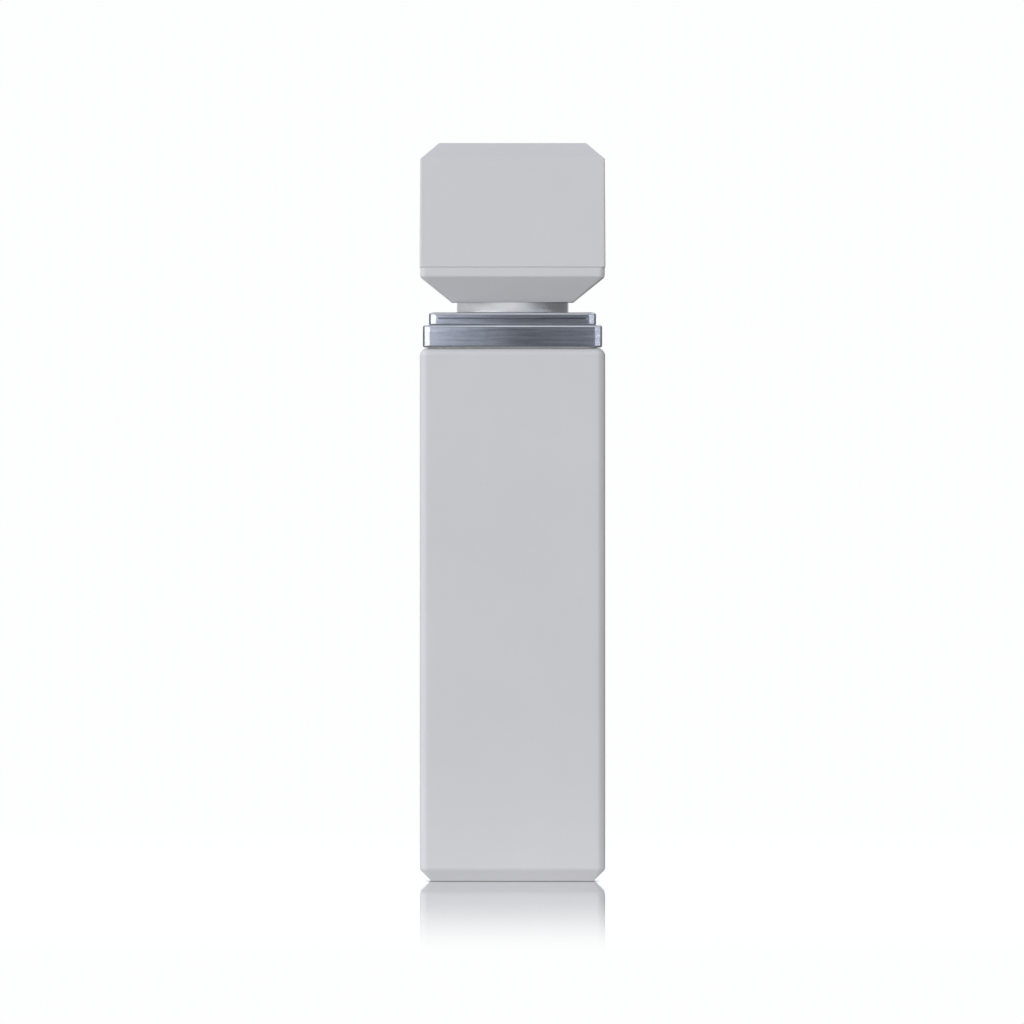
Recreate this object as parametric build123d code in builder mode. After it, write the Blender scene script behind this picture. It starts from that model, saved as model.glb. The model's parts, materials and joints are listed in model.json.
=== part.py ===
from build123d import *
import os

# A 50 ml fragrance bottle with a crimped spray pump, a two-step collar and a bevelled cap.
# Millimetres, +Z up, origin at the centre of the base, the spray leaves towards -Y.

os.makedirs("parts", exist_ok=True)

# ---- Driving dimensions ----------------------------------------------------------------

# Bottle body: square block, bevelled at the foot and rounded at the shoulder
body_width = 32.0
body_height = 92.0
body_edge = 1.4
shoulder_round = 1.4
foot_bevel = 2.0
glass_wall = 3.0
glass_base = 7.0
glass_shoulder = 4.0
cavity_round = 3.0

# Glass neck: crimp finish, 15 mm across its lip
neck_height = 9.6
neck_stem_radius = 6.8
lip_radius = 7.5
lip_height = 4.1
lip_round = 0.5
lip_cone = 0.4
neck_bore_radius = 4.5
overlap = 1.0

# Collar plates
pad_thickness = 0.2
pad_width = 29.0
lower_plate_width = 31.0
lower_plate_height = 3.8
upper_plate_width = 28.9
upper_plate_height = 2.15
plate_corner = 1.3
plate_top_round = 0.45
plate_bottom_round = 0.25
groove_width = 0.34
groove_depth = 0.2
groove_above_plate = 1.15

# Crimp and seals
sheet = 0.4
gasket_thickness = 0.8
housing_flange = 1.0
crimp_gap = 0.1
ferrule_radius = 8.0
turret_hole_radius = 4.2
side_gap = 0.1

# Neck sleeve and its insert
sleeve_radius = 9.8
sleeve_wall = 0.5
sleeve_height = 10.45
sleeve_mouth_radius = 7.0
sleeve_round = 0.4
insert_gap = 0.1
insert_mouth_radius = 7.3
snap_bead = 0.4
snap_bead_height = 0.8

# Pump
stroke = 4.0
chamber_radius = 2.82
housing_radius = 3.7
barrel_radius = 4.2
barrel_step = 1.6
floor_thickness = 1.0
running_gap = 0.02
piston_height = 3.2
piston_lip = 0.7
piston_slope = 0.4
piston_waist = 0.35
stem_radius = 1.6
shank_radius = 1.2
stem_bore_radius = 0.5
stem_foot_radius = 2.0
stem_foot_height = 1.0
stem_foot_taper = 0.3
port_radius = 0.25
stem_seal_thickness = 0.8
guide_depth = 2.8
guide_well_radius = 3.4
guide_running_gap = 0.06
turret_height = 1.4
turret_round = 0.5
spring_wire_radius = 0.2
spring_mean_radius = 1.75
spring_turns = 6
spring_length = 8.1
ball_radius = 1.0
ball_fit = 0.01
ball_lift = 0.6
ball_stop_radius = 0.75
ball_stop_height = 0.8
ball_slots = 3
slot_length = 0.7
slot_width = 0.5
cage_radius = 1.25
seat_hole_radius = 0.65
tail_radius = 1.9
tube_shoulder = 0.7
tube_grip = 4.0
tube_radius = 0.95
tube_bore_radius = 0.6
tube_clear_of_base = 0.8

# Actuator
actuator_radius = 6.3
actuator_shell_wall = 0.3
actuator_height = 8.5
actuator_below_mouth = 0.6
actuator_skirt = 1.0
actuator_recess = 2.2
boss_radius = 2.6
boss_rise = 1.4
stem_socket = 1.8
channel_radius = 0.5
swirl_radius = 0.3
nozzle_rise = 5.2
nozzle_radius = 2.0
nozzle_post_radius = 1.1
nozzle_depth = 3.0
nozzle_face = 0.6
nozzle_setback = 0.2
orifice_radius = 0.15

# Cap
cap_gap = 1.8
cap_width = 32.1
cap_band_width = 31.85
cap_top_face = 25.4
cap_foot_face = 21.0
cap_cone_height = 4.4
cap_band_height = 1.65
cap_shell_height = 21.4
cap_bevel_height = 2.75
cap_wall = 1.5
cap_top_wall = 1.8
cap_inner_drop = 0.6
cap_edge = 0.4
cap_band_edge = 1.0
seam_chamfer = 0.15
spigot_height = 3.2
spigot_gap = 0.05
sleeve_bore_gap = 0.25
liner_radius = 11.0
liner_gap = 0.05
liner_rise = 3.3
liner_upper_radius = 8.9
liner_flange = 1.2
liner_flange_gap = 0.15
liner_top = 1.2
liner_room = 5.1
weight_width = 22.0
weight_chamfer = 0.2

# ---- Heights that follow ---------------------------------------------------------------

neck_top = body_height + neck_height
lip_bottom = neck_top - lip_height
pad_top = body_height + pad_thickness
lower_plate_top = pad_top + lower_plate_height
upper_plate_top = lower_plate_top + upper_plate_height
gasket_top = neck_top + gasket_thickness
flange_top = gasket_top + housing_flange
ferrule_top = flange_top + sheet
sleeve_top = upper_plate_top + sleeve_height

turret_top = ferrule_top + turret_height
guide_bottom = flange_top - guide_depth
seal_bottom = guide_bottom - stem_seal_thickness
piston_bottom = seal_bottom - piston_height
stem_foot = piston_bottom - stem_foot_height
chamber_bottom = stem_foot - spring_length
ball_stop_bottom = chamber_bottom - ball_stop_height
seat_drop = cage_radius - seat_hole_radius
ball_center = ball_stop_bottom - ball_lift - ball_radius
seat_top = ball_center - ball_radius * 2**0.5 + cage_radius
seat_bottom = seat_top - seat_drop
tube_top = seat_bottom - tube_shoulder
tail_bottom = tube_top - tube_grip

actuator_bottom = sleeve_top - actuator_below_mouth
actuator_top = actuator_bottom + actuator_height
recess_top = actuator_bottom + actuator_recess
socket_top = recess_top + stem_socket
nozzle_z = actuator_bottom + nozzle_rise

cap_bottom = upper_plate_top + cap_gap
band_bottom = cap_bottom + cap_cone_height
seam = band_bottom + cap_band_height
cap_top = seam + cap_shell_height
bevel_bottom = cap_top - cap_bevel_height
spigot_top = seam + spigot_height
liner_seat = cap_bottom + liner_rise
liner_ceiling = actuator_top + liner_room
cap_ceiling = cap_top - cap_top_wall


def turned(*points):
    """Closed outline of (radius, height) points, ready to be revolved about Z."""
    with BuildSketch(Plane.XZ) as outline:
        with BuildLine():
            Polyline(*points, close=True)
        make_face()
    return outline.sketch


def ring(inner, outer, bottom, top):
    """Outline of a plain washer or tube."""
    return turned((inner, bottom), (outer, bottom), (outer, top), (inner, top))


# ---- Bottle ----------------------------------------------------------------------------

with BuildPart() as glass_bottle:
    with BuildSketch(Plane.XY.offset(foot_bevel)):
        RectangleRounded(body_width, body_width, body_edge)
    extrude(amount=body_height - foot_bevel)
    fillet(glass_bottle.faces().sort_by(Axis.Z)[-1].edges(), 0.99 * shoulder_round)
    foot_width = body_width - 2 * foot_bevel
    with BuildSketch(Plane.XY):
        RectangleRounded(foot_width, foot_width, body_edge / 4)
    with BuildSketch(Plane.XY.offset(foot_bevel)):
        RectangleRounded(body_width, body_width, body_edge)
    loft(ruled=True)
    revolve(
        turned(
            (0, body_height - overlap),
            (neck_stem_radius, body_height - overlap),
            (neck_stem_radius, lip_bottom),
            (lip_radius, lip_bottom + lip_cone),
            (lip_radius, neck_top),
            (0, neck_top),
        ),
        axis=Axis.Z,
    )
    fillet(glass_bottle.edges().filter_by(GeomType.CIRCLE).sort_by(Axis.Z)[-1], lip_round)
    cavity_width = body_width - 2 * glass_wall
    with BuildSketch(Plane.XY.offset(glass_base)):
        RectangleRounded(cavity_width, cavity_width, cavity_round)
    cavity_height = body_height - glass_shoulder - glass_base
    extrude(amount=cavity_height, mode=Mode.SUBTRACT)
    cavity_rims = glass_bottle.faces().filter_by(Plane.XY).sort_by(Axis.Z)
    fillet(cavity_rims[1].edges(), cavity_round / 2)
    with BuildSketch(Plane.XY.offset(neck_top)):
        Circle(neck_bore_radius)
    extrude(amount=-(neck_height + glass_shoulder + overlap), mode=Mode.SUBTRACT)

# ---- Collar ----------------------------------------------------------------------------

with BuildPart() as shoulder_pad:
    with BuildSketch(Plane.XY.offset(body_height)):
        RectangleRounded(pad_width, pad_width, plate_corner)
        Circle(sleeve_radius - sleeve_wall, mode=Mode.SUBTRACT)
    extrude(amount=pad_thickness)

with BuildPart() as lower_collar_plate:
    with BuildSketch(Plane.XY.offset(pad_top)):
        RectangleRounded(lower_plate_width, lower_plate_width, plate_corner)
    extrude(amount=lower_plate_height)
    fillet(lower_collar_plate.faces().sort_by(Axis.Z)[-1].edges(), plate_top_round)
    fillet(lower_collar_plate.faces().sort_by(Axis.Z)[0].edges(), plate_bottom_round)
    with Locations((0, 0, lower_plate_top)):
        Hole(sleeve_radius - sleeve_wall)

with BuildPart() as upper_collar_plate:
    with BuildSketch(Plane.XY.offset(lower_plate_top)):
        RectangleRounded(upper_plate_width, upper_plate_width, plate_corner)
    extrude(amount=upper_plate_height)
    fillet(upper_collar_plate.faces().sort_by(Axis.Z)[-1].edges(), plate_top_round)
    fillet(upper_collar_plate.faces().sort_by(Axis.Z)[0].edges(), plate_bottom_round)
    # A V-shaped line on each flat side stops at the rounded corners
    side = upper_plate_width / 2
    groove_middle = lower_plate_top + groove_above_plate
    for outward, along in (
        ((1, 0, 0), (0, -1, 0)),
        ((0, 1, 0), (1, 0, 0)),
        ((-1, 0, 0), (0, 1, 0)),
        ((0, -1, 0), (-1, 0, 0)),
    ):
        with BuildSketch(Plane(origin=(0, 0, 0), x_dir=outward, z_dir=along)):
            with BuildLine():
                Polyline(
                    (side - groove_depth, groove_middle),
                    (side + groove_depth, groove_middle - groove_width),
                    (side + groove_depth, groove_middle + groove_width),
                    close=True,
                )
            make_face()
        extrude(amount=side - plate_corner, both=True, mode=Mode.SUBTRACT)
    with Locations((0, 0, upper_plate_top)):
        Hole(sleeve_radius - sleeve_wall)

with BuildPart() as neck_sleeve:
    revolve(
        turned(
            (sleeve_radius - sleeve_wall, upper_plate_top),
            (sleeve_radius, upper_plate_top),
            (sleeve_radius, sleeve_top),
            (sleeve_mouth_radius, sleeve_top),
            (sleeve_mouth_radius, sleeve_top - sleeve_wall),
            (sleeve_radius - sleeve_wall, sleeve_top - sleeve_wall),
        ),
        axis=Axis.Z,
    )
    rim = neck_sleeve.edges().filter_by(GeomType.CIRCLE).group_by(Axis.Z)[-1]
    fillet(rim.sort_by(SortBy.RADIUS)[-1], sleeve_round)

with BuildPart() as sleeve_insert:
    # The bead near the bottom snaps under the ferrule's crimped lip
    bead_top = lip_bottom - crimp_gap - sheet
    revolve(
        turned(
            (ferrule_radius - snap_bead, bead_top - snap_bead_height),
            (ferrule_radius - snap_bead, bead_top),
            (ferrule_radius + insert_gap, bead_top),
            (ferrule_radius + insert_gap, ferrule_top + insert_gap),
            (insert_mouth_radius, ferrule_top + insert_gap),
            (insert_mouth_radius, sleeve_top - sleeve_wall),
            (sleeve_radius - sleeve_wall, sleeve_top - sleeve_wall),
            (sleeve_radius - sleeve_wall, pad_top),
            (ferrule_radius + insert_gap, pad_top),
        ),
        axis=Axis.Z,
    )

# ---- Crimp and seals -------------------------------------------------------------------

with BuildPart() as crimp_ferrule:
    lip_side = lip_radius + crimp_gap
    crimp_top = lip_bottom - crimp_gap
    revolve(
        turned(
            (neck_stem_radius + crimp_gap, crimp_top - sheet),
            (ferrule_radius, crimp_top - sheet),
            (ferrule_radius, ferrule_top),
            (turret_hole_radius, ferrule_top),
            (turret_hole_radius, flange_top),
            (lip_side, flange_top),
            (lip_side, crimp_top),
            (neck_stem_radius + crimp_gap, crimp_top),
        ),
        axis=Axis.Z,
    )
    rim = crimp_ferrule.edges().filter_by(GeomType.CIRCLE).group_by(Axis.Z)[-1]
    fillet(rim.sort_by(SortBy.RADIUS)[-1], 0.75 * sheet)

with BuildPart() as neck_gasket:
    revolve(ring(neck_bore_radius, lip_radius, neck_top, gasket_top), axis=Axis.Z)

# ---- Pump ------------------------------------------------------------------------------

with BuildPart() as pump_housing:
    barrel_bottom = guide_bottom - barrel_step
    revolve(
        turned(
            (guide_well_radius, flange_top),
            (lip_radius - side_gap, flange_top),
            (lip_radius - side_gap, gasket_top),
            (barrel_radius, gasket_top),
            (barrel_radius, barrel_bottom),
            (housing_radius, barrel_bottom - 1),
            (housing_radius, chamber_bottom - floor_thickness),
            (tail_radius, seat_bottom),
            (tail_radius, tail_bottom),
            (tube_radius, tail_bottom),
            (tube_radius, tube_top),
            (seat_hole_radius, tube_top),
            (seat_hole_radius, seat_bottom),
            (cage_radius, seat_top),
            (cage_radius, ball_stop_bottom),
            (ball_stop_radius, ball_stop_bottom),
            (ball_stop_radius, chamber_bottom),
            (chamber_radius, chamber_bottom),
            (chamber_radius, guide_bottom),
            (guide_well_radius, guide_bottom),
        ),
        axis=Axis.Z,
    )
    # Three slots let the liquid past the lifted ball
    with BuildSketch(Plane.XY.offset(ball_stop_bottom)):
        with PolarLocations(0.9 * ball_radius, ball_slots):
            Rectangle(slot_length, slot_width)
    extrude(amount=chamber_bottom - ball_stop_bottom, mode=Mode.SUBTRACT)
    # Air vent near the top of the chamber
    with BuildSketch(Plane.YZ):
        with Locations((0, seal_bottom - 2 * port_radius)):
            Circle(port_radius)
    extrude(amount=barrel_radius + overlap, mode=Mode.SUBTRACT)

with BuildPart() as dip_tube:
    tube_bottom = glass_base + tube_clear_of_base
    revolve(ring(tube_bore_radius, tube_radius, tube_bottom, tube_top), axis=Axis.Z)
    # Slanted end, so that the tube can't seal itself on the glass
    slant = Plane(origin=(0, 0, tube_bottom + tube_radius), z_dir=(0, 1, 1))
    split(bisect_by=slant, keep=Keep.TOP)

with BuildPart() as inlet_ball:
    with Locations((0, 0, ball_center)):
        Sphere(ball_radius - ball_fit)

with BuildPart() as return_spring:
    spring_bottom = chamber_bottom + spring_wire_radius
    spring_height = stem_foot - chamber_bottom - 2 * spring_wire_radius
    with BuildLine() as coil:
        Helix(spring_height / spring_turns, spring_height, spring_mean_radius, (0, 0, spring_bottom))
    with BuildSketch(Plane(origin=coil.line @ 0, z_dir=coil.line % 0)):
        Circle(spring_wire_radius)
    sweep(is_frenet=True)

with BuildPart() as piston:
    # Two sealing lips with a waist between them
    lip = chamber_radius - running_gap
    waist = lip - piston_waist
    bore = shank_radius + running_gap
    revolve(
        turned(
            (bore, piston_bottom),
            (lip, piston_bottom),
            (lip, piston_bottom + piston_lip),
            (waist, piston_bottom + piston_lip + piston_slope),
            (waist, seal_bottom - piston_lip - piston_slope),
            (lip, seal_bottom - piston_lip),
            (lip, seal_bottom),
            (bore, seal_bottom),
        ),
        axis=Axis.Z,
    )

with BuildPart() as pump_stem:
    bore_bottom = piston_bottom + 0.4
    revolve(
        turned(
            (0, stem_foot),
            (stem_foot_radius - stem_foot_taper, stem_foot),
            (stem_foot_radius, stem_foot + stem_foot_taper),
            (stem_foot_radius, piston_bottom),
            (shank_radius, piston_bottom),
            (shank_radius, seal_bottom),
            (stem_radius, seal_bottom),
            (stem_radius, socket_top),
            (stem_bore_radius, socket_top),
            (stem_bore_radius, bore_bottom),
            (0, bore_bottom),
        ),
        axis=Axis.Z,
    )
    # Cross port through the shank, opened when the piston slips
    with BuildSketch(Plane.YZ):
        with Locations((0, bore_bottom + port_radius)):
            Circle(port_radius)
    extrude(amount=shank_radius + overlap, both=True, mode=Mode.SUBTRACT)

with BuildPart() as stem_seal:
    revolve(ring(stem_radius + running_gap, chamber_radius, seal_bottom, guide_bottom), axis=Axis.Z)

with BuildPart() as stem_guide:
    guide_bore = stem_radius + guide_running_gap
    turret_radius = turret_hole_radius - side_gap
    revolve(
        turned(
            (guide_bore, guide_bottom),
            (guide_well_radius, guide_bottom),
            (guide_well_radius, flange_top),
            (turret_radius, flange_top),
            (turret_radius, turret_top),
            (guide_bore, turret_top),
        ),
        axis=Axis.Z,
    )
    rim = stem_guide.edges().filter_by(GeomType.CIRCLE).group_by(Axis.Z)[-1]
    fillet(rim.sort_by(SortBy.RADIUS)[-1], turret_round)

# ---- Actuator --------------------------------------------------------------------------

with BuildPart() as actuator:
    core_top = actuator_top - actuator_shell_wall
    boss_bottom = actuator_bottom + boss_rise
    recess_radius = actuator_radius - actuator_skirt
    revolve(
        turned(
            (recess_radius, actuator_bottom),
            (actuator_radius, actuator_bottom),
            (actuator_radius, core_top),
            (0, core_top),
            (0, socket_top),
            (stem_radius + running_gap, socket_top),
            (stem_radius + running_gap, boss_bottom),
            (boss_radius, boss_bottom),
            (boss_radius, recess_top),
            (recess_radius, recess_top),
        ),
        axis=Axis.Z,
    )
    # Liquid channel: up from the stem, then forward to the nozzle well
    with BuildSketch(Plane.XY.offset(socket_top)):
        Circle(channel_radius)
    extrude(amount=nozzle_z - socket_top, mode=Mode.SUBTRACT)
    with BuildSketch(Plane.XZ):
        with Locations((nozzle_post_radius + channel_radius, nozzle_z)):
            Circle(swirl_radius)
        with Locations((0, nozzle_z)):
            Rectangle(2 * (nozzle_post_radius + channel_radius), channel_radius)
    extrude(amount=actuator_radius - nozzle_depth, mode=Mode.SUBTRACT)
    with BuildSketch(Plane.XZ.offset(actuator_radius)):
        with Locations((0, nozzle_z)):
            Circle(nozzle_radius)
            Circle(nozzle_post_radius, mode=Mode.SUBTRACT)
    extrude(amount=-nozzle_depth, mode=Mode.SUBTRACT)
    # The post stands back from the front, behind the insert's face
    with BuildSketch(Plane.XZ.offset(actuator_radius)):
        with Locations((0, nozzle_z)):
            Circle(nozzle_radius)
    extrude(amount=-(nozzle_setback + nozzle_face), mode=Mode.SUBTRACT)

with BuildPart() as nozzle_insert:
    # A cup pushed over the post, with the orifice in its face
    with BuildSketch(Plane.XZ.offset(actuator_radius - nozzle_depth)):
        with Locations((0, nozzle_z)):
            Circle(nozzle_radius)
            Circle(nozzle_post_radius, mode=Mode.SUBTRACT)
    extrude(amount=nozzle_depth - nozzle_setback - nozzle_face)
    with BuildSketch(Plane.XZ.offset(actuator_radius - nozzle_setback)):
        with Locations((0, nozzle_z)):
            Circle(nozzle_radius)
            Circle(orifice_radius, mode=Mode.SUBTRACT)
    extrude(amount=-nozzle_face)

with BuildPart() as actuator_shell:
    shell_radius = actuator_radius + actuator_shell_wall
    revolve(
        turned(
            (actuator_radius, actuator_bottom),
            (shell_radius, actuator_bottom),
            (shell_radius, actuator_top),
            (0, actuator_top),
            (0, core_top),
            (actuator_radius, core_top),
        ),
        axis=Axis.Z,
    )
    fillet(actuator_shell.faces().sort_by(Axis.Z)[-1].edges(), 0.8 * actuator_shell_wall)
    with BuildSketch(Plane.XZ.offset(shell_radius)):
        with Locations((0, nozzle_z)):
            Circle(nozzle_radius)
    extrude(amount=-nozzle_depth, mode=Mode.SUBTRACT)

# ---- Cap -------------------------------------------------------------------------------

with BuildPart() as cap_shell:
    for inset, bottom, bend, top, mode in (
        (0, seam, bevel_bottom, cap_top, Mode.ADD),
        (cap_wall, seam, bevel_bottom - cap_inner_drop, cap_ceiling, Mode.SUBTRACT),
    ):
        sections = (
            (bottom, cap_width - 2 * inset),
            (bend, cap_band_width - 2 * inset),
            (top, cap_top_face - 2 * inset),
        )
        for low, high in zip(sections, sections[1:]):
            for height, width in (low, high):
                with BuildSketch(Plane.XY.offset(height)):
                    RectangleRounded(width, width, cap_edge)
            loft(ruled=True, mode=mode)

with BuildPart() as cap_base:
    with BuildSketch(Plane.XY.offset(cap_bottom)):
        RectangleRounded(cap_foot_face, cap_foot_face, cap_band_edge)
    with BuildSketch(Plane.XY.offset(band_bottom)):
        RectangleRounded(cap_band_width, cap_band_width, cap_band_edge)
    loft(ruled=True)
    with BuildSketch(Plane.XY.offset(band_bottom)):
        RectangleRounded(cap_band_width, cap_band_width, cap_band_edge)
    extrude(amount=cap_band_height)
    chamfer(cap_base.faces().sort_by(Axis.Z)[-1].edges(), seam_chamfer)
    spigot_width = cap_width - 2 * (cap_wall + spigot_gap)
    with BuildSketch(Plane.XY.offset(seam)):
        RectangleRounded(spigot_width, spigot_width, cap_band_edge)
    extrude(amount=spigot_height)
    with BuildSketch(Plane.XY.offset(cap_bottom)):
        Circle(sleeve_radius + sleeve_bore_gap)
    extrude(amount=spigot_top - cap_bottom, mode=Mode.SUBTRACT)
    with BuildSketch(Plane.XY.offset(liner_seat)):
        Circle(liner_radius)
    extrude(amount=spigot_top - liner_seat, mode=Mode.SUBTRACT)

with BuildPart() as cap_liner:
    grip = sleeve_radius + liner_gap
    # The step in the bore rests on the sleeve and stops the cap
    revolve(
        turned(
            (grip, liner_seat),
            (liner_radius, liner_seat),
            (liner_radius, liner_ceiling + liner_top),
            (0, liner_ceiling + liner_top),
            (0, liner_ceiling),
            (liner_upper_radius, liner_ceiling),
            (liner_upper_radius, sleeve_top),
            (grip, sleeve_top),
        ),
        axis=Axis.Z,
    )
    liner_width = cap_width - 2 * (cap_wall + liner_flange_gap)
    with BuildSketch(Plane.XY.offset(spigot_top)):
        RectangleRounded(liner_width, liner_width, cap_edge)
        Circle(liner_radius, mode=Mode.SUBTRACT)
    extrude(amount=liner_flange)

with BuildPart() as cap_weight:
    with BuildSketch(Plane.XY.offset(liner_ceiling + liner_top)):
        RectangleRounded(weight_width, weight_width, cap_edge)
    extrude(amount=cap_ceiling - liner_ceiling - liner_top)
    chamfer(cap_weight.faces().sort_by(Axis.Z)[-1].edges(), weight_chamfer)

# ---- Files -----------------------------------------------------------------------------

pieces = {
    "glass_bottle": glass_bottle,
    "shoulder_pad": shoulder_pad,
    "lower_collar_plate": lower_collar_plate,
    "upper_collar_plate": upper_collar_plate,
    "neck_sleeve": neck_sleeve,
    "sleeve_insert": sleeve_insert,
    "crimp_ferrule": crimp_ferrule,
    "neck_gasket": neck_gasket,
    "pump_housing": pump_housing,
    "dip_tube": dip_tube,
    "inlet_ball": inlet_ball,
    "return_spring": return_spring,
    "piston": piston,
    "pump_stem": pump_stem,
    "stem_seal": stem_seal,
    "stem_guide": stem_guide,
    "actuator": actuator,
    "nozzle_insert": nozzle_insert,
    "actuator_shell": actuator_shell,
    "cap_shell": cap_shell,
    "cap_base": cap_base,
    "cap_liner": cap_liner,
    "cap_weight": cap_weight,
}
for name, piece in pieces.items():
    piece.part.label = name
    export_step(piece.part, f"parts/{name}.step")
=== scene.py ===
import json
import math

import bmesh
import bpy
from mathutils import Matrix, Vector


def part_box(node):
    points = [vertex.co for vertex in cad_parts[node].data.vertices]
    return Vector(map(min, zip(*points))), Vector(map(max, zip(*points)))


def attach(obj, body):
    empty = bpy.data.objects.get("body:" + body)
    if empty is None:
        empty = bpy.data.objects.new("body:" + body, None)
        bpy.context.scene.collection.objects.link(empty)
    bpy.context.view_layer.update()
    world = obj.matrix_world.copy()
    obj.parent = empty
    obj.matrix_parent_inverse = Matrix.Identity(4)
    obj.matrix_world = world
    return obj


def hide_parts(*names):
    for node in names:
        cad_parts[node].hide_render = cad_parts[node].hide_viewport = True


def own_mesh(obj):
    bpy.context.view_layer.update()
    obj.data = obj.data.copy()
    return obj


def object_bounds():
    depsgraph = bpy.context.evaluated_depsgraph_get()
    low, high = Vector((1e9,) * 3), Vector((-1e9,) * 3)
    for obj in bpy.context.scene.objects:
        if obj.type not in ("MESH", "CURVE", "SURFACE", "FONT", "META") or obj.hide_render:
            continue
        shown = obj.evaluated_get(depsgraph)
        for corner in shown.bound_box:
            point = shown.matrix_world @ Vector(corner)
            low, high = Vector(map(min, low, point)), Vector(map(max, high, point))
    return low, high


# The looks of the perfume bottle. Each piece takes its outer size and its place from the box of
# its CAD node. Lengths in the piece functions are millimetres, and become metres in skin().

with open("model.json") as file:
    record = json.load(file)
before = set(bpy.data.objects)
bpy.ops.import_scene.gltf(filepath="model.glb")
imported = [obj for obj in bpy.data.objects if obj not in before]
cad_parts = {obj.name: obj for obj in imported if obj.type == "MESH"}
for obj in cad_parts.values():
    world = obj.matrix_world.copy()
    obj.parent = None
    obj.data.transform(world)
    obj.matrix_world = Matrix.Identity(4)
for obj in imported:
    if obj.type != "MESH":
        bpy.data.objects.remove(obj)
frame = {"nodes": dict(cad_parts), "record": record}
cad_box = [list(corner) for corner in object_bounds()]

MM = 0.001
FULL_TURN = 2 * math.pi
SAME_PLACE = 1e-7

# Half width of the small level that closes a piece at its middle.
HUB = 1.0


def box_mm(node):
    """Lowest and highest corner of a CAD node in millimetres."""
    low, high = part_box(node)
    return Vector(low) / MM, Vector(high) / MM


# ---- Mesh tools ------------------------------------------------------------------------


def rounded(corners, closed=False, step=math.radians(12), fewest=3):
    """Profile through (distance, height, radius) corners, with an arc at each rounded one."""
    count = len(corners)
    points = []
    for i, (distance, height, radius) in enumerate(corners):
        here = Vector((distance, height))
        at_end = not closed and i in (0, count - 1)
        if at_end or radius == 0:
            points.append(tuple(here))
            continue
        back = (Vector(corners[i - 1][:2]) - here).normalized()
        ahead = (Vector(corners[(i + 1) % count][:2]) - here).normalized()
        opening = back.angle(ahead)
        turn = math.pi - opening
        middle = here + (back + ahead).normalized() * radius / math.sin(opening / 2)
        start = here + back * radius / math.tan(opening / 2) - middle
        sense = 1 if back.x * ahead.y - back.y * ahead.x < 0 else -1
        steps = max(fewest, math.ceil(turn / step))
        for k in range(steps + 1):
            angle = sense * turn * k / steps
            cos, sin = math.cos(angle), math.sin(angle)
            points.append((
                middle.x + cos * start.x - sin * start.y,
                middle.y + sin * start.x + cos * start.y,
            ))
    return points


def ring(half, corner, height, arc):
    """Level of a piece: a rounded square of that half width, a circle where corner is half."""
    flat = half - corner
    points = []
    for quarter in range(4):
        diagonal = FULL_TURN * (quarter + 0.5) / 4
        middle_x = flat * math.sqrt(2) * math.cos(diagonal)
        middle_y = flat * math.sqrt(2) * math.sin(diagonal)
        for k in range(arc + 1):
            angle = FULL_TURN * (quarter + k / arc) / 4
            points.append((
                middle_x + corner * math.cos(angle),
                middle_y + corner * math.sin(angle),
                height,
            ))
    return points


def round_levels(profile, arc):
    """Circular levels for a turned profile."""
    return [ring(distance, distance, height, arc) for distance, height in profile]


def square_levels(profile, half, corner, arc, least=0.04):
    """Rounded-square levels: the corner radius shrinks as the profile steps inwards."""
    return [
        ring(distance, max(corner - (half - distance), least), height, arc)
        for distance, height in profile
    ]


def link(name, data):
    """Puts a mesh or curve into the scene."""
    piece = bpy.data.objects.new(name, data)
    bpy.context.scene.collection.objects.link(piece)
    return piece


def smooth(piece, sharp=math.radians(34)):
    """Smooth shading with flat faces kept flat."""
    mesh = bmesh.new()
    mesh.from_mesh(piece.data)
    for face in mesh.faces:
        face.smooth = True
    for edge in mesh.edges:
        if len(edge.link_faces) == 2 and edge.calc_face_angle(0) > sharp:
            edge.smooth = False
    mesh.to_mesh(piece.data)
    mesh.free()
    normals = piece.modifiers.new("weighted_normals", "WEIGHTED_NORMAL")
    normals.keep_sharp = True
    normals.weight = 100
    return piece


def skin(name, levels, closed=False):
    """Mesh through rings of points in millimetres, capped at its ends unless it closes on itself."""
    mesh = bmesh.new()
    rings = [[mesh.verts.new(Vector(point) * MM) for point in level] for level in levels]
    following = rings[1:] + rings[:1] if closed else rings[1:]
    for low, high in zip(rings, following):
        for i in range(len(low)):
            j = (i + 1) % len(low)
            mesh.faces.new((low[i], low[j], high[j], high[i]))
    if not closed:
        mesh.faces.new(rings[0])
        mesh.faces.new(rings[-1])
    bmesh.ops.remove_doubles(mesh, verts=mesh.verts, dist=SAME_PLACE)
    bmesh.ops.recalc_face_normals(mesh, faces=mesh.faces)
    data = bpy.data.meshes.new(name)
    mesh.to_mesh(data)
    mesh.free()
    return smooth(link(name, data))


# ---- Material tools --------------------------------------------------------------------

RANGE_SOCKETS = ("From Min", "From Max", "To Min", "To Max")
NOISE_SPAN = (0.3, 0.7)


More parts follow.
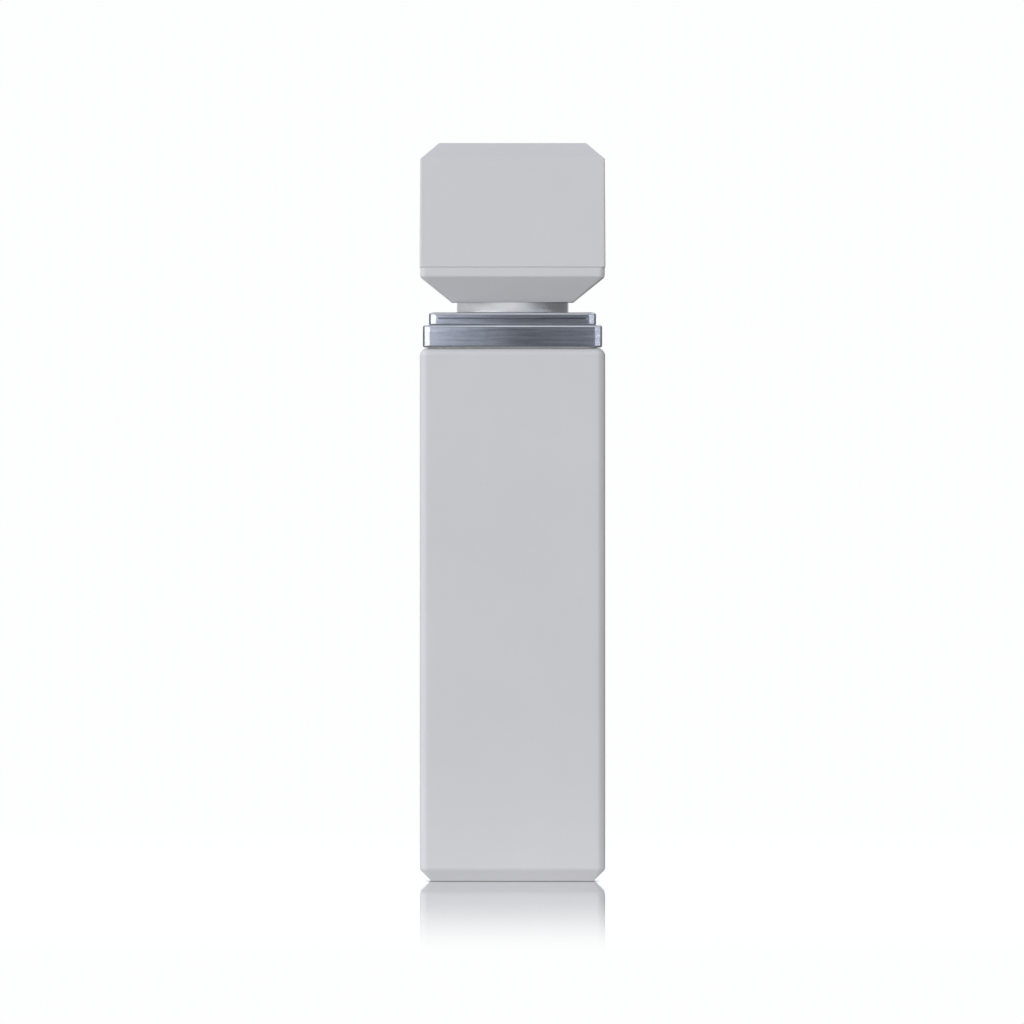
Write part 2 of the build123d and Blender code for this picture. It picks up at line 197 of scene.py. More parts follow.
class Nodes:
    """Node tree, with short calls for the nodes that repeat."""

    def __init__(self, tree):
        self.tree = tree

    def add(self, kind, **settings):
        node = self.tree.nodes.new(kind)
        for key, value in settings.items():
            setattr(node, key, value)
        return node

    def link(self, source, target):
        self.tree.links.new(source, target)

    def math(self, operation, a, b=0.0):
        node = self.add("ShaderNodeMath", operation=operation)
        for socket, value in zip(node.inputs, (a, b)):
            if isinstance(value, (int, float)):
                socket.default_value = value
            else:
                self.link(value, socket)
        return node.outputs[0]

    def weighted(self, a, share, b, other_share):
        """Sum of two values, each multiplied by its share."""
        first = self.math("MULTIPLY", a, share)
        return self.math("ADD", first, self.math("MULTIPLY", b, other_share))

    def ramp(self, value, start, end, least, most, **settings):
        """Maps start to end onto least to most."""
        node = self.add("ShaderNodeMapRange", **settings)
        for socket, number in zip(RANGE_SOCKETS, (start, end, least, most)):
            node.inputs[socket].default_value = number
        self.link(value, node.inputs["Value"])
        return node.outputs["Result"]

    def axes(self, vector):
        """The X, Y and Z of a vector."""
        node = self.add("ShaderNodeSeparateXYZ")
        self.link(vector, node.inputs[0])
        return node.outputs

    def length(self, vector):
        node = self.add("ShaderNodeVectorMath", operation="LENGTH")
        self.link(vector, node.inputs[0])
        return node.outputs["Value"]

    def choose(self, factor, a, b):
        """Number a where the factor is 0, and b where it is 1."""
        node = self.add("ShaderNodeMix", data_type="FLOAT")
        self.link(factor, node.inputs["Factor"])
        self.link(a, node.inputs[2])
        self.link(b, node.inputs[3])
        return node.outputs[0]

    def mix_shaders(self, factor, a, b):
        """Shader a where the factor is 0, and b where it is 1."""
        node = self.add("ShaderNodeMixShader")
        self.link(factor, node.inputs["Fac"])
        self.link(a, node.inputs[1])
        self.link(b, node.inputs[2])
        return node.outputs[0]


class Shader(Nodes):
    """Node tree of a surface's material."""

    def __init__(self, name, **settings):
        self.material = bpy.data.materials.new(name)
        self.material.use_nodes = True
        super().__init__(self.material.node_tree)
        self.surface = self.tree.nodes["Principled BSDF"]
        for socket, value in settings.items():
            self.surface.inputs[socket.replace("_", " ")].default_value = value
        self.position = self.add("ShaderNodeTexCoord").outputs["Object"]

    def noise(self, scale, detail=2.0, roughness=0.5):
        """Noise value whose grain is 1/scale metres; scale is one number or one for each axis."""
        stretched = self.add("ShaderNodeMapping")
        stretched.inputs["Scale"].default_value = scale if isinstance(scale, tuple) else (scale,) * 3
        self.link(self.position, stretched.inputs["Vector"])
        node = self.add("ShaderNodeTexNoise")
        node.inputs["Scale"].default_value = 1.0
        node.inputs["Detail"].default_value = detail
        node.inputs["Roughness"].default_value = roughness
        self.link(stretched.outputs["Vector"], node.inputs["Vector"])
        return node.outputs["Fac"]

    def spread(self, noise, low, high):
        """Maps the usual span of a noise value onto low to high."""
        return self.ramp(noise, *NOISE_SPAN, low, high)

    def tint(self, value, dark, light):
        """Colour between two colours by a noise value."""
        node = self.add("ShaderNodeMix", data_type="RGBA")
        self.link(self.spread(value, 0.0, 1.0), node.inputs["Factor"])
        node.inputs[6].default_value = (*dark, 1.0)
        node.inputs[7].default_value = (*light, 1.0)
        return node.outputs[2]

    def bump(self, height, distance, strength):
        node = self.add("ShaderNodeBump")
        node.inputs["Strength"].default_value = strength
        node.inputs["Distance"].default_value = distance
        self.link(height, node.inputs["Height"])
        self.link(node.outputs["Normal"], self.surface.inputs["Normal"])

    def turned(self):
        """Lets the highlight run round the bottle's axis."""
        tangent = self.add("ShaderNodeTangent", direction_type="RADIAL", axis="Z")
        self.link(tangent.outputs["Tangent"], self.surface.inputs["Tangent"])

    def base(self, colour):
        self.link(colour, self.surface.inputs["Base Color"])

    def rough(self, value):
        self.link(value, self.surface.inputs["Roughness"])


def shade(colour, factor):
    return tuple(channel * factor for channel in colour)


def lacquer(name, colour, roughness):
    """Fine matt lacquer: soft clouding, orange peel and a dusting of grain."""
    s = Shader(name, IOR=1.45)
    cloud = s.noise(45, detail=3)
    grain = s.noise(5200, detail=1)
    peel = s.noise(900)
    mixed = s.weighted(cloud, 0.6, grain, 0.4)
    s.base(s.tint(mixed, shade(colour, 0.975), shade(colour, 1.025)))
    s.rough(s.spread(s.noise(140, detail=3), roughness - 0.04, roughness + 0.04))
    s.bump(s.weighted(peel, 0.7, grain, 0.3), distance=0.000012, strength=0.5)
    return s.material


def brushed_steel(name, colour, roughness):
    """Steel with a fine level grain round its sides, and along X on its top and bottom."""
    s = Shader(name, Metallic=1.0, Anisotropic=0.75, Anisotropic_Rotation=0.25)
    s.turned()
    level = s.noise((90, 90, 7000), detail=3, roughness=0.65)
    broad = s.noise((110, 110, 2200))
    flat = s.noise((70, 9000, 70), detail=3, roughness=0.65)
    normal = s.axes(s.add("ShaderNodeTexCoord").outputs["Normal"])
    lies_flat = s.math("GREATER_THAN", s.math("ABSOLUTE", normal["Z"]), 0.8)
    grain = s.choose(lies_flat, level, flat)
    mixed = s.weighted(grain, 0.4, broad, 0.6)
    s.base(s.tint(mixed, shade(colour, 0.84), shade(colour, 1.14)))
    s.rough(s.spread(mixed, roughness - 0.04, roughness + 0.05))
    s.bump(grain, distance=0.000003, strength=0.35)
    return s.material


def satin_metal(name, colour, roughness):
    """Anodised aluminium with a faint turned grain."""
    s = Shader(name, Metallic=1.0, Anisotropic=0.4, Anisotropic_Rotation=0.25)
    s.turned()
    grain = s.noise((90, 90, 7000))
    frost = s.noise(9000, detail=1)
    mixed = s.weighted(grain, 0.5, frost, 0.5)
    s.base(s.tint(mixed, shade(colour, 0.97), shade(colour, 1.02)))
    s.rough(s.spread(mixed, roughness - 0.04, roughness + 0.04))
    s.bump(mixed, distance=0.000002, strength=0.25)
    return s.material


def bright_steel(name, colour, roughness):
    """Drawn or ground steel of the small inner parts."""
    s = Shader(name, Metallic=1.0)
    marks = s.noise(2500, detail=4, roughness=0.7)
    s.base(s.tint(marks, shade(colour, 0.88), shade(colour, 1.05)))
    s.rough(s.spread(marks, roughness - 0.06, roughness + 0.08))
    s.bump(marks, distance=0.000004, strength=0.4)
    return s.material


def moulded(name, colour, roughness, transmission=0.0):
    """Moulded plastic with faint flow marks and a fine eroded grain."""
    s = Shader(name, IOR=1.49, Transmission_Weight=transmission)
    flow = s.noise((120, 120, 30), detail=3)
    grain = s.noise(4000)
    s.base(s.tint(flow, shade(colour, 0.97), shade(colour, 1.02)))
    s.rough(s.spread(grain, roughness - 0.05, roughness + 0.06))
    s.bump(grain, distance=0.000008, strength=0.5)
    return s.material


def rubber(name, colour):
    """Matt elastomer with a dusty, uneven face."""
    s = Shader(name, IOR=1.5)
    dust = s.noise(1800, detail=4, roughness=0.6)
    s.base(s.tint(dust, shade(colour, 0.8), shade(colour, 1.6)))
    s.rough(s.spread(dust, 0.62, 0.82))
    s.bump(dust, distance=0.00002, strength=0.5)
    return s.material


LACQUER_GREY = (0.588, 0.588, 0.612)

MATERIALS = {
    "lacquered_glass": lacquer("glass_lacquer", LACQUER_GREY, 0.5),
    "cap_lacquer": lacquer("cap_lacquer", LACQUER_GREY, 0.52),
    "collar_steel": brushed_steel("collar_steel", (0.52, 0.535, 0.565), 0.16),
    "satin_aluminium": satin_metal("satin_aluminium", (0.86, 0.875, 0.895), 0.22),
    "white_plastic": moulded("white_plastic", (0.78, 0.78, 0.775), 0.42),
    "natural_plastic": moulded("natural_plastic", (0.82, 0.83, 0.82), 0.3, 0.35),
    "seal_rubber": rubber("seal_rubber", (0.035, 0.035, 0.037)),
    "bright_steel": bright_steel("bright_steel", (0.62, 0.62, 0.63), 0.25),
}
SLOT_OF = {part["node"]: part["material_slot"] for part in frame["record"]["subparts"]}
BODY_OF = {
    node: body
    for body, nodes in frame["record"]["behaviour"]["bodies"].items()
    for node in nodes
}


def stand_for(piece, node):
    """A finished piece takes its CAD node's place, body and material."""
    piece.data.materials.clear()
    piece.data.materials.append(MATERIALS[SLOT_OF[node]])
    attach(piece, BODY_OF[node])
    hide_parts(node)
    return piece


# ---- Bottle and collar -----------------------------------------------------------------


def glass_bottle():
    """Square lacquered body with its foot bevel, shoulder, crimp neck and inner hollow."""
    low, high = box_mm("glass_bottle")
    half, top = high.x, high.z
    shoulder = box_mm("shoulder_pad")[0].z
    bevel, corner = 2.0, 1.4
    foot_round, bevel_round, shoulder_round = 0.5, 0.8, 1.4
    wall, base, shoulder_glass = 3.0, 7.0, 4.0
    stem, lip, lip_drop, lip_slope, bore = 6.8, 7.5, 4.1, 0.4, 4.5
    neck_round, lip_round, mouth_round = 0.3, 0.5, 0.4
    hollow, hollow_round, floor_round = half - wall, 3.0, 2.0
    roof, arc = shoulder - shoulder_glass, 12
    outside = rounded([
        (HUB, low.z, 0),
        (half - bevel, low.z, foot_round),
        (half, low.z + bevel, bevel_round),
        (half, shoulder, shoulder_round),
        (stem + 1, shoulder, 0),
    ])
    neck = rounded([
        (stem + 0.3, shoulder, 0),
        (stem, shoulder, 0),
        (stem, top - lip_drop, neck_round),
        (lip, top - lip_drop + lip_slope, neck_round),
        (lip, top, lip_round),
        (bore, top, mouth_round),
        (bore, roof + 0.5, 0),
    ])
    inside = rounded([
        (bore + 0.1, roof, 0),
        (hollow, roof, hollow_round),
        (hollow, base, floor_round),
        (HUB, base, 0),
    ])
    levels = square_levels(outside, half, corner, arc)
    levels += round_levels(neck, arc)
    levels += square_levels(inside, hollow, hollow_round, arc, least=0.5)
    return stand_for(skin("bottle_glass", levels), "glass_bottle")


def lined_ring(half, corner, height, arc, inset):
    """Rounded square whose four flat sides, but not its corners, step in by the inset."""
    points = ring(half, corner, height, arc)
    flat = half - corner
    line_end, full_inset = 0.98, 0.96
    turned = []
    for quarter in range(4):
        turned += points[quarter * (arc + 1):(quarter + 1) * (arc + 1)]
        spin = Matrix.Rotation(FULL_TURN * (quarter + 1) / 4, 3, "Z")
        for along in (-line_end, -full_inset, full_inset, line_end):
            out = half - (inset if abs(along) == full_inset else 0)
            turned.append(tuple(spin @ Vector((out, along * flat, height))))
    return turned


# The line milled into the upper plate: its rise from the underside, its width and its depth.
GROOVE = (1.15, 0.34, 0.2)


def collar_plate(node, name, groove=None):
    """Square steel plate with rounded rims, a round hole and, if it has one, its groove."""
    low, high = box_mm(node)
    half = high.x
    hole, chamfer = box_mm("sleeve_insert")[1].x, 0.2
    corner, least_corner, arc = 1.3, 0.04, 12
    top_round, bottom_round = 0.45, 0.25
    profile = rounded([
        (hole + 2 * chamfer, low.z, 0),
        (half, low.z, bottom_round),
        (half, high.z, top_round),
        (hole + 2 * chamfer, high.z, 0),
    ])
    steps = [(distance, height, 0) for distance, height in profile]
    if groove:
        rise, width, depth = groove
        middle = low.z + rise
        place = next(i for i, step in enumerate(steps) if step[1] > middle)
        steps[place:place] = [
            (half, middle - width / 2, 0),
            (half, middle, depth),
            (half, middle + width / 2, 0),
        ]
    hole_side = [
        (hole + chamfer, high.z),
        (hole, high.z - chamfer),
        (hole, low.z + chamfer),
        (hole + chamfer, low.z),
    ]
    levels = [
        lined_ring(distance, max(corner - (half - distance), least_corner), height, arc, inset)
        for distance, height, inset in steps
    ]
    levels += [lined_ring(distance, distance, height, arc, 0) for distance, height in hole_side]
    return stand_for(skin(name, levels, closed=True), node)


def neck_sleeve():
    """Thin satin sleeve with a rolled-in mouth round the button."""
    low, high = box_mm("neck_sleeve")
    outside = high.x
    wall, mouth = 0.5, 7.0
    roll, foot_round, mouth_round, arc = 0.7, 0.1, 0.2, 24
    profile = rounded([
        (outside - wall, low.z, foot_round),
        (outside, low.z, foot_round),
        (outside, high.z, roll),
        (mouth, high.z, mouth_round),
        (mouth, high.z - wall, mouth_round),
        (outside - wall, high.z - wall, mouth_round),
    ], closed=True)
    sleeve = skin("satin_neck_sleeve", round_levels(profile, arc), closed=True)
    return stand_for(sleeve, "neck_sleeve")


# ---- Button ----------------------------------------------------------------------------


def drilled(piece, hole):
    """Cuts the hole's mesh out of the piece and removes the cutter."""
    cut = piece.modifiers.new("hole", "BOOLEAN")
    cut.operation = "DIFFERENCE"
    cut.solver = "EXACT"
    cut.object = hole
    bpy.context.view_layer.update()
    whole = piece.evaluated_get(bpy.context.evaluated_depsgraph_get())
    data = bpy.data.meshes.new_from_object(whole)
    piece.modifiers.clear()
    piece.data = data
    bpy.data.objects.remove(hole)
    return smooth(piece)


def facing_front(name, profile, height, arc, closed=False):
    """Turned piece in millimetres whose axis lies along Y at that height."""
    levels = [
        [(x, along, height + y) for x, y, _ in ring(radius, radius, 0, arc)]
        for radius, along in profile
    ]
    return skin(name, levels, closed)


def button_shell():
    """Satin metal cup over the button, dished on top, with a hole for the nozzle."""
    low, high = box_mm("actuator_shell")
    nozzle_low, nozzle_high = box_mm("nozzle_insert")
    nozzle_height = (nozzle_low.z + nozzle_high.z) / 2
    nozzle_radius = (nozzle_high.z - nozzle_low.z) / 2
    outside, wall, dish, brim = high.x, 0.28, 0.12, 1.2
    dish_round, edge_round, rim_round, inner_round, arc = 1.5, 0.35, 0.06, 0.1, 24
    ceiling = high.z - wall - dish
    profile = rounded([
        (HUB, high.z - dish, 0),
        (outside - brim, high.z, dish_round),
        (outside, high.z, edge_round),
        (outside, low.z, rim_round),
        (outside - wall, low.z, rim_round),
        (outside - wall, ceiling, inner_round),
        (HUB, ceiling, 0),
    ])
    shell = skin("button_shell_metal", round_levels(profile, arc))
    cut = [(nozzle_radius, -outside - 1), (nozzle_radius, -outside + 2)]
    hole = facing_front("nozzle_hole", cut, nozzle_height, arc // 2)
    return stand_for(drilled(shell, hole), "actuator_shell")


def nozzle():
    """Moulded nozzle cup with a dished face and a fine orifice."""
    low, high = box_mm("nozzle_insert")
    radius, post, face, orifice = (high.z - low.z) / 2, 1.1, 0.6, 0.15
    rim, bowl, bowl_depth, orifice_start = 0.45, 0.45, 0.3, 0.36
    back_round, front_round, rim_round, bowl_round, orifice_round = 0.08, 0.12, 0.1, 0.05, 0.03
    arc = 10
    profile = rounded([
        (post, high.y, 0),
        (radius, high.y, back_round),
        (radius, low.y, front_round),
        (radius - rim, low.y, rim_round),
        (bowl, low.y + bowl_depth, bowl_round),
        (orifice, low.y + orifice_start, orifice_round),
        (orifice, low.y + face, orifice_round),
        (post, low.y + face, rim_round),
    ], closed=True)
    cup = facing_front("spray_nozzle", profile, (low.z + high.z) / 2, arc, closed=True)
    return stand_for(cup, "nozzle_insert")


def pump_spring():
    """Compression spring with closed, ground ends, on a mesh of its own."""
    low, high = box_mm("return_spring")
    wire, around, ground = 0.2, 12, 0.05
    mean, turns, steps = high.x - wire, 6.6, 28
    closed_turns = 0.9
    travel = high.z - low.z - 2 * wire
    pitch = (travel - 4 * wire * closed_turns) / (turns - 2 * closed_turns)
    levels = []
    for k in range(int(turns * steps) + 1):
        turn = k / steps
        rise = 2 * wire * min(turn, closed_turns)
        rise += pitch * min(max(turn - closed_turns, 0), turns - 2 * closed_turns)
        rise += 2 * wire * max(turn - (turns - closed_turns), 0)
        angle = FULL_TURN * turn
        out = Vector((math.cos(angle), math.sin(angle), 0))
        centre = out * mean + Vector((0, 0, low.z + wire + rise))
        level = []
        for i in range(around):
            side = FULL_TURN * i / around
            point = centre + out * (wire * math.cos(side)) + Vector((0, 0, wire * math.sin(side)))
            point.z = min(max(point.z, low.z + ground), high.z - ground)
            level.append(point)
        levels.append(level)
    piece = stand_for(skin("pump_spring_wire", levels), "return_spring")
    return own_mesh(piece)


# ---- Cap -------------------------------------------------------------------------------


def cap_shell():
    """Square cap with a bevelled top, open below, with even walls."""
    low, high = box_mm("cap_shell")
    half, draft, corner, arc = high.x, 0.125, 0.4, 8
    bevel_height, top_half = 2.75, 12.7
    wall, top_wall = 1.5, 1.8
    bevel_round, seam_round = 0.22, 0.08
    inner_bend_drop, inner_bend_round, roof_round = 0.6, 0.3, 0.2
    inner, bend, ceiling = half - wall, high.z - bevel_height, high.z - top_wall
    outside = rounded([
        (HUB, high.z, 0),
        (top_half, high.z, bevel_round),
        (half - draft, bend, bevel_round),
        (half, low.z, seam_round),
        (inner, low.z, 0),
    ])
    inside = rounded([
        (inner, low.z, 0),
        (inner - draft, bend - inner_bend_drop, inner_bend_round),
        (top_half - wall, ceiling, roof_round),
        (HUB, ceiling, 0),
    ])
    levels = square_levels(outside, half, corner, arc, least=0.1)
    levels += square_levels(inside[1:], inner, corner, arc, least=0.1)
    return stand_for(skin("cap_outer_shell", levels), "cap_shell")


def cap_base():
    """Upside-down pyramid under a square band, bored for the sleeve and the liner."""
    low, high = box_mm("cap_base")
    seam = box_mm("cap_shell")[0].z
    half, corner, arc = high.x, 1.0, 16
    foot, cone, spigot = 10.5, 4.4, 14.5
    foot_round, band_round, seam_round, spigot_round = 0.15, 0.5, 0.22, 0.3
    sleeve_bore, liner_bore, chamfer = 10.05, 11.0, 0.1
    liner_seat = box_mm("cap_liner")[0].z
    outside = rounded([
        (sleeve_bore + 2 * chamfer, low.z, 0),
        (foot, low.z, foot_round),
        (half, low.z + cone, band_round),
        (half, seam, seam_round),
        (spigot, seam, 0),
        (spigot, high.z, spigot_round),
        (liner_bore + 0.6, high.z, 0),
    ])
    bore = [
        (liner_bore, high.z),
        (liner_bore, liner_seat),
        (sleeve_bore, liner_seat),
        (sleeve_bore, low.z + chamfer),
        (sleeve_bore + chamfer, low.z),
    ]
    levels = square_levels(outside, half, corner, arc, least=0.3)
    levels += round_levels(bore, arc)
    return stand_for(skin("cap_lower_part", levels, closed=True), "cap_base")


def cap_liner():
    """Moulded inner cup with a square flange and slim ribs above the grip."""
    low, high = box_mm("cap_liner")
    square, square_corner = high.x, 0.4
    outer, grip, upper = 11.0, 9.85, 8.9
    top_round, foot_chamfer, mouth_depth, mouth_flare = 0.4, 0.2, 0.5, 0.35
    mouth = box_mm("neck_sleeve")[1].z
    flange, flange_bottom = 1.2, box_mm("cap_base")[1].z
    roof = 1.2
    ceiling = high.z - roof
    ribs, rib_depth, rib_run_in, rib_run_out, rib_sharpness, arc = 12, 0.55, 0.6, 0.5, 6, 24
    top = [
        (HUB, high.z),
        (outer - top_round, high.z),
        (outer, high.z - top_round),
        (outer, flange_bottom + flange),
    ]
    rim = [(square, flange_bottom + flange), (square, flange_bottom)]
    grip_part = [
        (outer, flange_bottom),
        (outer, low.z + foot_chamfer),
        (outer - foot_chamfer, low.z),
        (grip + mouth_flare, low.z),
        (grip, low.z + mouth_depth),
        (grip, mouth),
    ]
    ribbed = []
    for height, depth in (
        (mouth, 0),
        (mouth + rib_run_in, rib_depth),
        (ceiling - rib_run_out, rib_depth),
        (ceiling, rib_depth),
    ):
        level = []
        for x, y, _ in ring(upper, upper, 0, arc):
            crest = max(0.0, math.cos(ribs * math.atan2(y, x))) ** rib_sharpness
            inwards = 1 - depth * crest / upper
            level.append((x * inwards, y * inwards, height))
        ribbed.append(level)
    levels = round_levels(top, arc) + square_levels(rim, square, square_corner, arc)
    levels += round_levels(grip_part, arc) + ribbed + round_levels([(HUB, ceiling)], arc)
    return stand_for(skin("cap_inner_cup", levels), "cap_liner")


# ---- Studio ----------------------------------------------------------------------------

# What the camera sees behind the object.
BACKDROP = (0.985, 0.99, 0.988, 1)

# Radiance of the surroundings: a cool colour, a level, and what is added towards +X, +Y and +Z.
WORLD_COLOUR = (0.955, 0.99, 1.06, 1)
WORLD_LEVEL = 0.55
WORLD_TILT = (-0.54, 0.42, 0.18)

# Level that mirrors see instead: a direction's Z from and to, and the levels at both; and the
# same for its Y, which is added.
MIRRORED_ABOVE = (0.0, 0.7, 0.07, 0.75)
MIRRORED_BEHIND = (0.88, 0.99, 0.0, 0.99)

# How far below the foot the seen floor lies, and the one that only gives light.
FLOOR_CLEARANCE = 0.00003
FLOOR_DROP = 0.0005

# Light off the floor: from and to distances from the axis, and the strengths at both.
FLOOR_LIGHT = (0.014, 0.08, 0.40, 0.12)

# The floor turns into the backdrop from the first distance to the second.
FLOOR_FADE = (0.22, 1.0)

# Contact shade under the object, from and to distances and the depths at both: beside the axis
# along X, and before and behind the line CONTACT_AHEAD in front of it along Y.
CONTACT_BESIDE = (0.0135, 0.0155, 1.0, 0.0)
CONTACT_ALONG = (0.0, 0.026, 0.75, 0.0)
CONTACT_AHEAD = 0.014
CONTACT_COLOUR = (0.10, 0.10, 0.10, 1)

# Bands of light that only the metal mirrors. Their colours go by azimuth in degrees, from
# behind, round the left, the front at 0 and the right, and are multiplied by the band's strength.
TENT_RADIUS = 0.06
RIM_BAND = 0.45
PLATE_BAND = 2.45
LEFT_CORNER = (1.28, 1.31, 1.38)
RIGHT_CORNER = (0.60, 0.64, 0.75)
PLATE_AROUND = (
    (-180, 0.30), (-135, 0.10), (-83, 0.10), (-75, LEFT_CORNER), (-26, LEFT_CORNER),
    (-19, (0.56, 0.59, 0.67)), (-10, (0.28, 0.30, 0.36)), (1, (0.05, 0.057, 0.072)),
    (12, (0.06, 0.068, 0.085)), (17, (0.19, 0.21, 0.25)), (24, RIGHT_CORNER),
    (75, RIGHT_CORNER), (83, 0.08), (135, 0.10), (180, 0.30),
)
SATIN_BAND = 0.91
SATIN_AROUND = (
    (-180, 0.50), (-150, 0.45), (-110, 0.52), (-80, 0.58), (-45, 0.64), (-20, 0.70), (0, 0.70),
    (25, 0.52), (45, 0.24), (70, 0.08), (110, 0.05), (140, 0.12), (160, 0.3), (180, 0.50),
)


def colour_by_azimuth(nodes, around):
    """Colour round the vertical axis, from greys or colours at azimuths in degrees."""
    turn = nodes.add("ShaderNodeVectorRotate", rotation_type="Z_AXIS")
    turn.inputs["Angle"].default_value = math.pi / 2
    dial = nodes.add("ShaderNodeTexGradient", gradient_type="RADIAL")
    ramp = nodes.add("ShaderNodeValToRGB")
    nodes.link(nodes.add("ShaderNodeTexCoord").outputs["Object"], turn.inputs["Vector"])
    nodes.link(turn.outputs["Vector"], dial.inputs["Vector"])
    nodes.link(dial.outputs["Fac"], ramp.inputs["Fac"])
    stops = ramp.color_ramp.elements
    for k, (azimuth, given) in enumerate(around):
        colour = given if isinstance(given, tuple) else (given,) * 3
        on_dial = (azimuth + 180) / 360
        stop = stops[k] if k < 2 else stops.new(on_dial)
        stop.position = on_dial
        stop.color = (*colour, 1)
    return ramp.outputs["Color"]


def glow(name, strength=1.0, around=None, see_through=False):
    """Light-giving material of one strength, or of colours by azimuth round the bottle."""
    material = bpy.data.materials.new(name)
    material.use_nodes = True
    nodes = Nodes(material.node_tree)
    nodes.tree.nodes.remove(nodes.tree.nodes["Principled BSDF"])
    emission = nodes.add("ShaderNodeEmission")
    emission.inputs["Strength"].default_value = strength
    given = emission.outputs[0]
    if see_through:
        both = nodes.add("ShaderNodeAddShader")
        nodes.link(given, both.inputs[0])
        nodes.link(nodes.add("ShaderNodeBsdfTransparent").outputs[0], both.inputs[1])
        given = both.outputs[0]
    nodes.link(given, nodes.tree.nodes["Material Output"].inputs["Surface"])
    if around:
        nodes.link(colour_by_azimuth(nodes, around), emission.inputs["Color"])
    return material


def studio_piece(name, data, material, diffuse=True, glossy=True, only_on=()):
    """Light or reflector that the camera doesn't see and that casts no shadow."""
    data.materials.clear()
    data.materials.append(material)
    piece = link(name, data)
    piece.visible_camera = False
    piece.visible_shadow = False
    piece.visible_diffuse = diffuse
    piece.visible_glossy = glossy
    piece.visible_transmission = False
    if only_on:
        lit = bpy.data.collections.new(name + "_lights")
        for receiver in only_on:
            lit.objects.link(receiver)
        piece.light_linking.receiver_collection = lit
    return piece


def softbox(name, middle, aim, width, height, strength):
    """Large light panel that gives light but leaves no mirror image."""
    data = bpy.data.meshes.new(name)
    w, h = width / 2, height / 2
    data.from_pydata([(-w, -h, 0), (w, -h, 0), (w, h, 0), (-w, h, 0)], [], [(0, 1, 2, 3)])
    facing = (Vector(aim) - Vector(middle)).to_track_quat("-Z", "Y").to_matrix().to_4x4()
    data.transform(Matrix.Translation(middle) @ facing)
    return studio_piece(name, data, glow(name, strength), glossy=False)


def tent(name, bottom, top, material, only_on):
    """Band of light round the bottle that only the given pieces mirror."""
    count = 96
    points, faces = [], []
    for k in range(count):
        angle = FULL_TURN * k / count
        x, y = TENT_RADIUS * math.cos(angle), TENT_RADIUS * math.sin(angle)
        points += [(x, y, bottom), (x, y, top)]
        j = (k + 1) % count
        faces.append((2 * k, 2 * j, 2 * j + 1, 2 * k + 1))
    data = bpy.data.meshes.new(name)
    data.from_pydata(points, [], faces)
    return studio_piece(name, data, material, diffuse=False, only_on=only_on)


def floor_mesh():
    """Level disc made of rings that get wider away from the middle."""
    rings, spokes = (0.1, 0.3, 1.0, 6.0), 48
    angles = [FULL_TURN * k / spokes for k in range(spokes)]
    points = [(0, 0, 0)]
    for distance in rings:
        points += [(distance * math.cos(angle), distance * math.sin(angle), 0) for angle in angles]
    faces = []
    for k in range(spokes):
        j = (k + 1) % spokes
        faces.append((0, 1 + k, 1 + j))
        for r in range(len(rings) - 1):
            inner, outer = 1 + r * spokes, 1 + (r + 1) * spokes
            faces.append((inner + k, outer + k, outer + j, inner + j))
    data = bpy.data.meshes.new("floor")
    data.from_pydata(points, [], faces)
    return data


def floor_material():
    """Pale polish with a contact shade, which fades into the backdrop and is clear from below."""
    s = Shader("pale_floor", IOR=1.5, Roughness=0.03)
    s.base(s.tint(s.noise(30, detail=3), (0.90, 0.905, 0.91), (0.93, 0.933, 0.938)))
    smooth_step = {"interpolation_type": "SMOOTHSTEP"}
    fade = s.ramp(s.length(s.position), *FLOOR_FADE, 0.0, 1.0, **smooth_step)
    white = s.add("ShaderNodeEmission")
    white.inputs["Color"].default_value = BACKDROP
    faded = s.mix_shaders(fade, s.surface.outputs[0], white.outputs[0])
    place = s.axes(s.position)
    forward = s.math("ADD", place["Y"], CONTACT_AHEAD)
    beside = s.ramp(s.math("ABSOLUTE", place["X"]), *CONTACT_BESIDE, **smooth_step)
    along = s.ramp(s.math("ABSOLUTE", forward), *CONTACT_ALONG, **smooth_step)
    dark = s.add("ShaderNodeEmission")
    dark.inputs["Color"].default_value = CONTACT_COLOUR
    shaded = s.mix_shaders(s.math("MULTIPLY", beside, along), faded, dark.outputs[0])
    from_below = s.add("ShaderNodeNewGeometry").outputs["Backfacing"]
    clear = s.add("ShaderNodeBsdfTransparent").outputs[0]
    given = s.mix_shaders(from_below, shaded, clear)
    s.link(given, s.tree.nodes["Material Output"].inputs["Surface"])
    return s.material


def floor_glow():
    """Light off the floor, strongest close to the bottle."""
    material = glow("floor_bounce")
    nodes = Nodes(material.node_tree)
    far = nodes.length(nodes.add("ShaderNodeTexCoord").outputs["Object"])
    nodes.link(nodes.ramp(far, *FLOOR_LIGHT), nodes.tree.nodes["Emission"].inputs["Strength"])
    return material


def floor():
    """Pale polished floor that gives no light, and a hidden one that lights the bottle."""
    data = floor_mesh()
    piece = link("floor", data)
    piece.location.z = -FLOOR_CLEARANCE
    data.materials.append(floor_material())
    piece.visible_diffuse = False
    piece.visible_glossy = False
    piece.visible_shadow = False
    bounce = studio_piece("floor_bounce", data.copy(), floor_glow())
    bounce.location.z = -FLOOR_DROP


